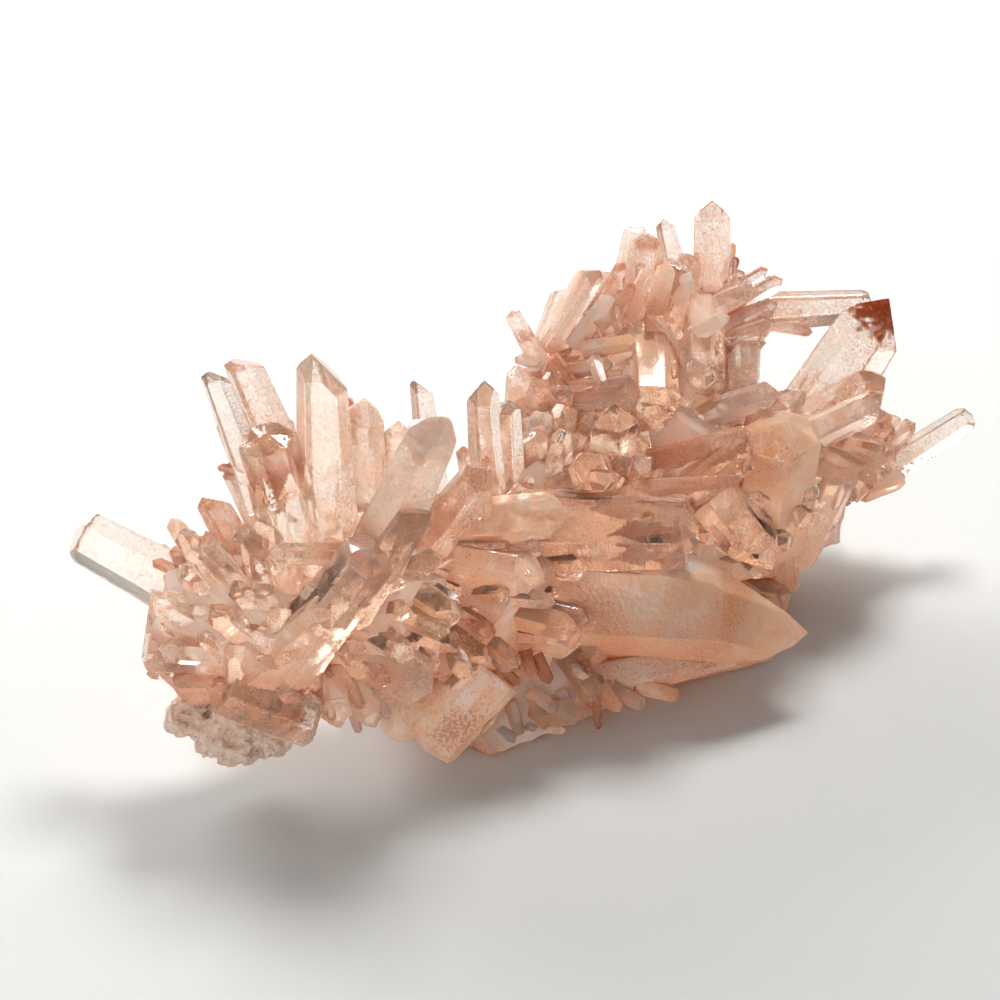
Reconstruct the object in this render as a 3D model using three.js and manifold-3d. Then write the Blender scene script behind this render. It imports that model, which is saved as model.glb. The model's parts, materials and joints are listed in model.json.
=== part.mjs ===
// A cluster of Himalayan quartz: long six-sided crystals that grew out of one root mass, a raised
// arm on the left, a tower at the back and a low arm on the right. It is one intergrown piece.
// Millimetres, +Z up. X runs to the right and Y away from someone who looks at its front.
// The origin is the middle of the flat broken face that it rests on.
import * as THREE from "three";
import { ConvexGeometry } from "three/addons/geometries/ConvexGeometry.js";
import { mergeVertices } from "three/addons/utils/BufferGeometryUtils.js";
import Module from "manifold-3d";

const wasm = await Module();
wasm.setup();

// The front viewpoint, from which the places of the crystals are given
const VIEW_DISTANCE = 700;
const VIEW_TILT = THREE.MathUtils.degToRad(30);
const VIEW_HEIGHT = 30; // the height of the point that the viewer looks at

// The middle of the flat face, measured from below the point that the viewer looks at
const FACE_MIDDLE = new THREE.Vector3(16, -11, 0);

// The habit of the crystals
const POINT_SLOPE = 1.27; // a point is this long for each unit from its axis to a prism face
const MINOR_FACE = 0.55; // how much smaller every other face of a point is
const PLAIN_BELOW = 9; // crystals narrower than this have three faces at the point, not six
const PRISM_REACH = 0.93; // the usual distance of a prism face, for each unit of half width
const UNEVEN = 0.1; // how far the faces of a prism stray from that
const FACE_WOBBLE = 4; // degrees in all by which a face is turned from an even hexagon
const TAPER = 0.035; // how much a prism narrows for each unit along it
const ROOT_SWELL = 1.08; // how much wider a prism is at its root

// Lumps of the root mass: their faces, and how far out a face lies for each unit of half size
const LUMP_FACES = 12;
const LUMP_REACH = [0.86, 1.06];

// Lengths too small to matter
const ON_PLANE = 1e-5;
const SAME_CORNER = 0.02;
const MERGE_DISTANCE = 1e-4;
const TIDY_DISTANCE = 0.06; // edges this short are tidied away after joining

const forward = new THREE.Vector3(0, Math.cos(VIEW_TILT), -Math.sin(VIEW_TILT));
const screenUp = new THREE.Vector3(0, Math.sin(VIEW_TILT), Math.cos(VIEW_TILT));
const viewer = new THREE.Vector3(0, 0, VIEW_HEIGHT).addScaledVector(forward, -VIEW_DISTANCE);

// The crystals that show in front. Each row gives the tip and then the root, both as millimetres
// across and up as seen from the viewpoint and away along Y, then the width as seen, the turn
// about the axis in degrees and, where they aren't 1 and 0, the length of the point and the lean
// of the tip to one side.
const frontCrystals = [
  // raised arm, upright crystals
  [-37.8, 29.4, -44, -34, -9, -42, 11, 22, 1, -0.35],
  [-54.4, 27.8, -36, -41.6, 4.4, -38, 8.6, 12, 0.5, -0.5],
  [-59.2, 25.4, -44, -47.6, -1, -44, 6.6, 10, 0.7, -0.4],
  [-47, 13.4, -49, -40, -12, -46, 12, 34, 0.3, 0],
  [-53.8, 8.4, -42, -45, -9, -44, 6, 20],
  [-27.2, 20.6, -36, -26.8, -6, -38, 9, 12],
  [-20.4, 16, -36, -20, 1, -38, 6.2, 30],
  [-17.4, 24, -30, -12, -10, -34, 6.4, 20, 0.8, -0.4],
  [-11.4, 16.8, -58, -26, -14, -50, 10.8, 5, 1, 0.1],
  [-14.6, -2.6, -64, -34, -29, -52, 8.8, 20, 0.8, 0.3],
  [-25.4, -10, -66, -43, -33, -58, 11.6, 32, 0.3, 0],
  [-2.8, 6, -44, -14, -8, -40, 8.4, 12, 0.6, 0],
  [-10.4, -15, -42, -14.4, -5, -36, 6, 15, 0.6, 0],
  [-3.2, 24, -16, -1, -10, -16, 8, 30, 1.1, 0.1],
  [1.4, 19.4, -14, 2, -6, -14, 6.8, 25, 0.4, 0],
  [-7.6, 10.8, -34, -4.4, -5, -34, 3.8, 10],
  [-49, -4, -52, -42, -15, -50, 8, 18],
  [-52, -5.2, -54, -45, -18, -52, 5.2, 5],
  [-46.4, -10.4, -66, -31, -11, -58, 4.4, 25],
  // end of the raised arm
  [-85.2, -6.4, -38, -63, -18.4, -46, 10, 25, 0.4, 0],
  [-65.8, -3.6, -50, -57.6, -16, -50, 4.2, 10],
  [-59.6, 0.6, -46, -51, -13, -48, 6, 25, 0.8, -0.3],
  [-64, -6, -54, -55.6, -18.4, -52, 5.2, 8],
  [-67.4, -15, -56, -59, -20, -54, 3.2, 25],
  [-68, -34.2, -50, -65, -19, -50, 7.6, 28, 0.4, 0],
  [-36.4, -45.6, -60, -55, -37, -62, 10, 12, 0.3, 0.1],
  [-32.6, -45.6, -58, -34, -33, -52, 8, 20],
  [-39, -39.6, -58, -40, -28, -56, 7, 10],
  [-33, -20, -66, -50, -36, -60, 8, 10],
  [-67, -18, -60, -57, -28, -58, 5.2, 0],
  [-66.4, -28, -62, -57, -32, -60, 4.8, 15],
  [-62, -10, -58, -54, -22, -54, 5.6, 22],
  [-58, -22, -66, -50, -28, -60, 6, 12],
  [-52, -28, -64, -46, -28, -62, 7, 5],
  // under the arm
  [-12.4, -32.4, -54, -25, -20, -44, 8.4, 10],
  [-13.4, -38.4, -60, -31, -28, -50, 9.6, 20, 0.6, 0.2],
  [-9.6, -31, -50, -19, -17.6, -42, 6.4, 25],
  [-24.8, -45.6, -52, -29.6, -36, -48, 5.2, 15],
  [-20.8, -48.4, -48, -16, -30, -38, 7.6, 20, 0.5, 0],
  [-15.4, -50, -52, -3, -33, -44, 14, 15, 0.3, -0.2],
  // long crystals that lie along the front
  [49, -28.8, -22, 8, -39, -34, 9.6, 18, 0.7, 0],
  [61.8, -26.6, -26, 9, -20, -24, 20.8, 33, 1.6, 0.25],
  [-4, -23.6, -46, -19, -16.4, -38, 3.8, 10],
  [16.6, -28.4, -38, -6, -20, -36, 10, 20, 0.6, 0],
  [9.2, -15.4, -42, -12, -12.4, -38, 8.6, 8],
  [40.2, -7.6, -26, 2, -7, -24, 15.6, 5, 0.5, 0],
  [48.4, 4, -14, 18, 1.6, -14, 4.2, 10],
  [14, -2.4, -32, -15, -6, -32, 9.2, 25],
  [38, -1.6, -20, 4, -1, -22, 5.6, 20],
  [14.6, -33.6, -41, 22, -38, -30, 3.6, 15],
  [19.6, -40.4, -40, 13.6, -31, -34, 5.2, 15, 0.7, 0],
  [16, -42.4, -44, 1, -43, -38, 5.4, 10, 0.6, 0],
  // right shoulder
  [57.6, 16, -4, 52, -8, 2, 15.2, 18, 0.5, 0.1],
  [54.6, -14, -16, 43, 0.6, -8, 10, 20, 1.2, 0],
  [58, -14, 4, 68.4, 8.4, 8, 10, 10, 0.6, 0],
  [56.8, -18.6, 0, 56, -11, 2, 6.8, 25, 0.3, 0],
  [50.2, 13.6, -6, 30, 7.6, -4, 4.4, 20],
  [50.4, 11, -8, 38, 2, -6, 8, 10, 0.5, 0],
  [30.6, 13.8, -2, 29.6, 30, 20, 11, 25, 1.2, 0],
  [40, 21.8, 8, 39.4, 39, 27, 7.6, 28, 0.7, 0],
  [43.6, 21.6, 10, 43.2, 35, 25, 4, 10],
  [48.6, 19, 8, 48.6, 32.4, 25, 6.4, 15],
  [55.6, 21.8, 4, 38, 16, 12, 5.6, 20, 0.8, 0],
  // right arm
  [94.6, 17, 36, 76, 5, 28, 6.6, 15, 0.6, 0],
  [83.2, 15.4, 30, 72.4, 8.4, 26, 4.8, 10],
  [77.2, 24.4, 22, 60, 15, 20, 9.2, 8, 0.7, 0.1],
  [77.8, 40.4, 30, 60.8, 14, 28, 13.4, 25, 1.1, 0],
  [74.8, 38.8, 36, 51, 37.4, 34, 7.4, 20, 0.6, 0],
  [79.4, 6.4, 14, 69, 10, 18, 8.4, 20, 0.5, 0],
  [76.4, 19.6, 16, 61.6, 12.8, 14, 6.8, 20],
  [78.6, 17, 26, 70, 12, 24, 8, 10],
  [72.4, 0, 20, 70, 6, 18, 5.2, 10],
  [81, 5, 26, 72, 2, 20, 5.2, 20],
  // tower at the back
  [42.4, 60, 36, 42.8, 40, 34, 7.6, 20, 0.9, 0],
  [32.6, 56.2, 30, 36.4, 40, 30, 4.4, 15, 0.9, 0],
  [28, 55.2, 34, 24, 38, 30, 5.2, 25, 0.6, 0.3],
  [29.6, 52.8, 26, 28, 37, 26, 7.6, 30, 0.4, 0],
  [22, 45.6, 22, 12, 30, 22, 8.8, 15, 0.6, 0.3],
  [13.2, 42.2, 28, 8.4, 30, 26, 4.8, 20, 0.7, 0.3],
  [2.2, 37.8, 24, 9, 25.6, 22, 4, 25, 0.4, 0],
  [8.6, 25.4, 10, 27, 29.6, 18, 7.6, 20, 0.5, 0],
  [19, 40, 12, 24, 30, 16, 7.6, 15, 0.6, 0],
  [53.6, 46.2, 30, 40, 37.6, 30, 3.8, 10],
  [56.6, 44.2, 28, 42.4, 36.4, 28, 4.2, 20],
  [55.6, 39.4, 24, 42.4, 33, 26, 4.6, 5],
  [54.6, 35, 20, 43, 31, 24, 4.6, 15],
  [49, 45.6, 34, 39, 39, 32, 3.4, 15],
  [33.6, 47.6, 22, 35.6, 34, 24, 7.2, 20, 0.6, 0],
  // saddle between the arm and the tower
  [22.8, 19.4, -4, 21, 2, -4, 10.8, 20, 0.5, 0],
  [18, 18.2, -3, 16, 7, -2, 5.2, 5, 0.6, 0],
  [18, 5.6, -24, 20, 5, -2, 9.2, 0, 0.5, 0],
  [12, 20.4, 2, 10, 9, 4, 3.4, 5],
  [28, 21.6, -2, 15, 20, 2, 7.2, 15, 0.5, 0],
];

// Large crystals on the side that is hidden from the viewpoint: tip and root in X, Y, Z, and width
const BACK_POINT = 0.8;
const backCrystals = [
  [-30, -6, 30, -9, -32, 25, 12],
  [-24, 2, 12, -5, -28, 20, 10],
  [-8, 24, 22, 14, -7, 24, 14],
  [0, 27, 7, 14, -5, 20, 11],
  [20, 40, 8, 40, 8, 20, 12],
  [8, 44, 34, 27, 22, 36, 11],
  [24, 48, 49, 37, 29, 48, 8],
  [34, 50, 24, 40, 18, 28, 10],
  [-46, -16, 38, -30, -44, 32, 10],
  [-40, -14, 22, -30, -44, 28, 8],
  [58, 46, 14, 58, 19, 20, 10],
];

// The root mass that the crystals stand on: middle of each lump in X, Y, Z and its half sizes
const rootLumps = [
  [-50, -52, 33, 15, 12, 13],
  [-30, -44, 32, 17, 13, 14],
  [-9, -32, 25, 19, 16, 16],
  [14, -7, 24, 22, 18, 19],
  [40, 8, 23, 22, 18, 17],
  [58, 19, 20, 14, 13, 12],
  [50, 14, 30, 12, 12, 11],
  [72, 27, 23, 9, 8, 7],
  [12, 5, 41, 13, 12, 8],
  [27, 22, 40, 18, 13, 15],
  [37, 29, 54, 11, 8, 9],
  [-2, -22, 7, 28, 20, 13],
  [28, -6, 8, 26, 22, 14],
  [41, 8, 8, 18, 14, 12],
];

// Crystals that nothing in front shows: how many grow from each lump, and their sizes
const FILL_COUNT = 6;
const FILL_FROM = 0.12; // they start where a lump turns this far away from the viewpoint
const FILL_LENGTH = [6, 17]; // how far they stand out of the lump
const FILL_WIDTH = [7, 15];
const FILL_POINT = [0.5, 1];
const FILL_LEAN = 0.9; // how far they stray from straight outwards
const FILL_ROOT = 0.45; // how far out their roots are, for each unit of the lump's half size

// A crumbly grey crust that hangs from the arm's lower side, in blocks: middle and half size
const crustBlocks = [
  [-59, -55, 14.4, 4.5, 4, 4.5],
  [-54, -56, 11, 5, 4.5, 5],
  [-49, -56, 8.6, 4.5, 4.5, 4],
  [-43.5, -55, 9.4, 4.5, 4.5, 4],
  [-49, -53, 15, 8, 7, 7],
];

// A small generator of repeatable random numbers from 0 to 1
function seeded(seed) {
  let state = seed;
  return function next() {
    state = (state + 0x6d2b79f5) | 0;
    let mixed = Math.imul(state ^ (state >>> 15), 1 | state);
    mixed = (mixed + Math.imul(mixed ^ (mixed >>> 7), 61 | mixed)) ^ mixed;
    return ((mixed ^ (mixed >>> 14)) >>> 0) / 4294967296;
  };
}

function between([low, high], share) {
  return low + (high - low) * share;
}

// The point seen at these millimetres across and up, where the sight line meets the plane Y = away
function seen(across, up, away) {
  const sight = forward.clone().multiplyScalar(VIEW_DISTANCE);
  sight.x += across;
  sight.addScaledVector(screenUp, up);
  return viewer.clone().addScaledVector(sight, (away - viewer.y) / sight.y);
}

// The corners of the convex space behind all of the planes
function cornersOf(planes) {
  const corners = [];
  const cross = new THREE.Vector3();
  for (let a = 0; a < planes.length; a += 1) {
    for (let b = a + 1; b < planes.length; b += 1) {
      cross.crossVectors(planes[a].normal, planes[b].normal);
      for (let c = b + 1; c < planes.length; c += 1) {
        const corner = meetingPoint(planes[a], planes[b], planes[c], cross);
        if (corner && planes.every((plane) => plane.distanceToPoint(corner) < ON_PLANE)) {
          const known = corners.some((other) => other.distanceTo(corner) < SAME_CORNER);
          if (!known) corners.push(corner);
        }
      }
    }
  }
  return corners;
}

function meetingPoint(first, second, third, firstCrossSecond) {
  const volume = firstCrossSecond.dot(third.normal);
  if (Math.abs(volume) < 1e-6) return null;
  const point = new THREE.Vector3().crossVectors(second.normal, third.normal);
  point.multiplyScalar(-first.constant);
  const part = new THREE.Vector3().crossVectors(third.normal, first.normal);
  point.addScaledVector(part, -second.constant);
  point.addScaledVector(firstCrossSecond, -third.constant);
  return point.divideScalar(volume);
}

// A closed mesh as a solid that can be joined and cut
function solidFrom(geometry) {
  geometry.deleteAttribute("normal");
  geometry.deleteAttribute("uv");
  const merged = mergeVertices(geometry, MERGE_DISTANCE);
  const vertProperties = new Float32Array(merged.attributes.position.array);
  const triVerts = new Uint32Array(merged.index.array);
  return new wasm.Manifold(new wasm.Mesh({ numProp: 3, vertProperties, triVerts }));
}

// One six-sided crystal that narrows a little towards its point. The tip lies at `tip`, moved off
// the axis by `lean` half widths along `side`; the faces are uneven, as on a real crystal.
function crystal(tip, root, width, options, random) {
  const { turn = 0, point = 1, lean = 0, side } = options;
  const half = width / 2;
  const axisEnd = tip.clone().addScaledVector(side, -lean * half);
  const axis = axisEnd.clone().sub(root).normalize();
  const right = side.clone().addScaledVector(axis, -side.dot(axis)).normalize();
  const away = new THREE.Vector3().crossVectors(axis, right);
  const planes = [];
  for (let face = 0; face < 6; face += 1) {
    const angle = THREE.MathUtils.degToRad(turn + 60 * face + FACE_WOBBLE * (random() - 0.5));
    const outward = right.clone().multiplyScalar(Math.cos(angle));
    outward.addScaledVector(away, Math.sin(angle));
    const radius = half * (PRISM_REACH + UNEVEN * (random() - 0.5) * 2);
    const prismNormal = outward.clone().addScaledVector(axis, TAPER).normalize();
    const onPrism = root.clone().addScaledVector(outward, radius * ROOT_SWELL);
    planes.push(new THREE.Plane().setFromNormalAndCoplanarPoint(prismNormal, onPrism));
    if (face % 2 && width < PLAIN_BELOW) continue;
    const slope = POINT_SLOPE * point;
    const tipNormal = outward.clone().multiplyScalar(slope).add(axis).normalize();
    const lift = face % 2 ? MINOR_FACE * random() * half * point : 0;
    const onPoint = tip.clone().addScaledVector(axis, lift);
    planes.push(new THREE.Plane().setFromNormalAndCoplanarPoint(tipNormal, onPoint));
  }
  planes.push(new THREE.Plane().setFromNormalAndCoplanarPoint(axis.clone().negate(), root));
  return solidFrom(new ConvexGeometry(cornersOf(planes)));
}

// An irregular block with flat faces around a middle
function block(middle, halfSizes, faces, random) {
  const planes = [];
  for (let face = 0; face < faces; face += 1) {
    const normal = spreadDirection(face, faces, random);
    const reach = normal.clone().multiply(halfSizes).length() * between(LUMP_REACH, random());
    const onFace = middle.clone().addScaledVector(normal, reach);
    planes.push(new THREE.Plane().setFromNormalAndCoplanarPoint(normal, onFace));
  }
  return solidFrom(new ConvexGeometry(cornersOf(planes)));
}

// Directions spread evenly over a sphere in a spiral, each moved a little
function spreadDirection(index, count, random) {
  const height = 1 - (2 * (index + 0.5)) / count + 0.1 * (random() - 0.5);
  const angle = index * Math.PI * (3 - Math.sqrt(5)) + 0.5 * (random() - 0.5);
  const flat = Math.sqrt(Math.max(0, 1 - height * height));
  return new THREE.Vector3(flat * Math.cos(angle), flat * Math.sin(angle), height).normalize();
}

function placedCrystals() {
  const random = seeded(7);
  return frontCrystals.map((row) => {
    const [tipAcross, tipUp, tipAway, rootAcross, rootUp, rootAway, width, ...shape] = row;
    const [turn, point, lean] = shape;
    const tip = seen(tipAcross, tipUp, tipAway);
    const root = seen(rootAcross, rootUp, rootAway);
    const axis = tip.clone().sub(root);
    const side = new THREE.Vector3().crossVectors(forward, axis).normalize();
    return crystal(tip, root, width, { turn, point, lean, side }, random);
  });
}

function hiddenCrystals() {
  const random = seeded(11);
  return backCrystals.map(([tipX, tipY, tipZ, rootX, rootY, rootZ, width]) => {
    const tip = new THREE.Vector3(tipX, tipY, tipZ);
    const root = new THREE.Vector3(rootX, rootY, rootZ);
    const axis = tip.clone().sub(root);
    const side = new THREE.Vector3(0, 0, 1).cross(axis).normalize();
    return crystal(tip, root, width, { turn: 60 * random(), point: BACK_POINT, side }, random);
  });
}

function fillCrystals() {
  const random = seeded(23);
  const solids = [];
  for (const [x, y, z, halfX, halfY, halfZ] of rootLumps) {
    const middle = new THREE.Vector3(x, y, z);
    const halfSizes = new THREE.Vector3(halfX, halfY, halfZ);
    for (let index = 0; index < FILL_COUNT; index += 1) {
      const outward = spreadDirection(index, FILL_COUNT, random);
      const hidden = outward.dot(forward);
      if (hidden < FILL_FROM) continue;
      const surface = outward.clone().multiply(halfSizes);
      const length = between(FILL_LENGTH, random() ** 1.5) * Math.min(1, 3 * hidden ** 2);
      const lean = new THREE.Vector3(random() - 0.5, random() - 0.5, random() - 0.5);
      const direction = outward.clone().addScaledVector(lean, FILL_LEAN).normalize();
      const tip = middle.clone().add(surface).addScaledVector(direction, length);
      const root = middle.clone().addScaledVector(surface, FILL_ROOT);
      const width = between(FILL_WIDTH, random());
      const axis = tip.clone().sub(root);
      const side = new THREE.Vector3().crossVectors(axis, spreadDirection(3, 7, random)).normalize();
      const shape = { turn: 60 * random(), point: between(FILL_POINT, random()), side };
      solids.push(crystal(tip, root, width, shape, random));
    }
  }
  return solids;
}

function rootMass() {
  const random = seeded(5);
  const lumps = rootLumps.map(([x, y, z, halfX, halfY, halfZ]) => {
    const halfSizes = new THREE.Vector3(halfX, halfY, halfZ);
    return block(new THREE.Vector3(x, y, z), halfSizes, LUMP_FACES, random);
  });
  const crust = crustBlocks.map(([x, y, z, halfX, halfY, halfZ]) => {
    const halfSizes = new THREE.Vector3(halfX, halfY, halfZ);
    return block(new THREE.Vector3(x, y, z), halfSizes, LUMP_FACES, random);
  });
  return [...lumps, ...crust];
}

// Everything joined, broken off flat underneath, as one closed solid
function clusterGeometry() {
  const solids = [...rootMass(), ...fillCrystals(), ...hiddenCrystals(), ...placedCrystals()];
  const joined = wasm.Manifold.union(solids);
  const below = new THREE.BoxGeometry(600, 600, 200);
  below.translate(0, 0, -100);
  const whole = joined.subtract(solidFrom(below));
  const pieces = whole.decompose().filter((piece) => piece.volume() > 0);
  const largest = pieces.reduce((best, piece) => (piece.volume() > best.volume() ? piece : best));
  const mesh = largest.simplify(TIDY_DISTANCE).getMesh();
  const geometry = new THREE.BufferGeometry();
  geometry.setAttribute("position", new THREE.BufferAttribute(mesh.vertProperties, 3));
  geometry.setIndex(new THREE.BufferAttribute(mesh.triVerts, 1));
  return geometry.translate(-FACE_MIDDLE.x, -FACE_MIDDLE.y, 0);
}

const quartz = new THREE.MeshStandardMaterial({ color: 0xe6bda4, roughness: 0.25, flatShading: true });
const cluster = new THREE.Mesh(clusterGeometry(), quartz);
cluster.name = "quartz_cluster";

const model = new THREE.Group();
model.add(cluster);

export default model;
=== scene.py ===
import itertools
import json
import math
import bmesh
import bpy
import numpy as np
from mathutils import Matrix, Vector, noise

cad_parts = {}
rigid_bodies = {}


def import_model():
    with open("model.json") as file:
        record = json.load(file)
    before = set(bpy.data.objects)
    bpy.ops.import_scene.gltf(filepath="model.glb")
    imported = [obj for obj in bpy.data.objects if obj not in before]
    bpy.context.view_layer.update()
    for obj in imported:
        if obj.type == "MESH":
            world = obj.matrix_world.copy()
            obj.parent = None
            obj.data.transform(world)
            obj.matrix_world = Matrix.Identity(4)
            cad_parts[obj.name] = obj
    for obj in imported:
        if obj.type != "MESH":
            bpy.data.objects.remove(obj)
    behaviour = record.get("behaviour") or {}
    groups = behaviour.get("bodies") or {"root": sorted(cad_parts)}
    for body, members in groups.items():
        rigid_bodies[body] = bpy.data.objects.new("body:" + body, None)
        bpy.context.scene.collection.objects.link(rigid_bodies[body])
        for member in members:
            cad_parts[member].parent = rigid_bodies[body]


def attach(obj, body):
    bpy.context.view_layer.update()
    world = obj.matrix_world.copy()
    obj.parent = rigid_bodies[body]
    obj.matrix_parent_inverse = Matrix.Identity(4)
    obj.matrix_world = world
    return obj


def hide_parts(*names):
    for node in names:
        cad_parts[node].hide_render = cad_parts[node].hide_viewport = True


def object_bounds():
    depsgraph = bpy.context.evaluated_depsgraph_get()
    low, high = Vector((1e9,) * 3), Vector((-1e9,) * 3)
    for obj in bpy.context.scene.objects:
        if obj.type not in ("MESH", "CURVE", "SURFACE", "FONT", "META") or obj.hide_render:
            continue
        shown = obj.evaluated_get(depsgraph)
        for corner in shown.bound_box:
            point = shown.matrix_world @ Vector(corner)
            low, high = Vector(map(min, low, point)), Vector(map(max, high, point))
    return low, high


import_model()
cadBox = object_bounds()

# The quartz cluster's looks. Lengths are in millimetres until a mesh is made, which is in metres.
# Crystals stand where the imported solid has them: the rows are the ones that it was built from.
millimetre = 0.001

# The viewpoint that the photograph was taken from, and the middle of the flat face under it
view = {
    "distance": 700,
    "tilt": math.radians(30),
    "height": 30,
    "faceMiddle": (16, -11),
    "frameWidth": 200,
    "sensor": 36,
}
forward = np.array([0, math.cos(view["tilt"]), -math.sin(view["tilt"])])
screenUp = np.array([0, math.sin(view["tilt"]), math.cos(view["tilt"])])
target = np.array([-view["faceMiddle"][0], -view["faceMiddle"][1], view["height"]])
viewer = target - forward * view["distance"]

# The habit of the crystals, as in the solid
habit = {
    "pointSlope": 1.27,
    "minorFace": 0.55,
    "plainBelow": 9,
    "uneven": 0.1,
    "taper": 0.035,
    "rootSwell": 1.08,
    "turnSpread": 4,
    "radius": 0.93,
}

# Where the random draws of each group start, and how far those of its ribs are from them
seeds = {
    "front": 7, "thin": 13, "toRibs": 24, "back": 11, "backRibs": 37, "fill": 23, "fillRibs": 41,
    "mass": 5, "massLook": 3, "restLook": 1, "druse": 43, "crust": 47,
}

# How near counts as touching, and how sharp the sharpest chamfered edge is
touching = 1e-5
sharpest = 0.3

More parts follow.
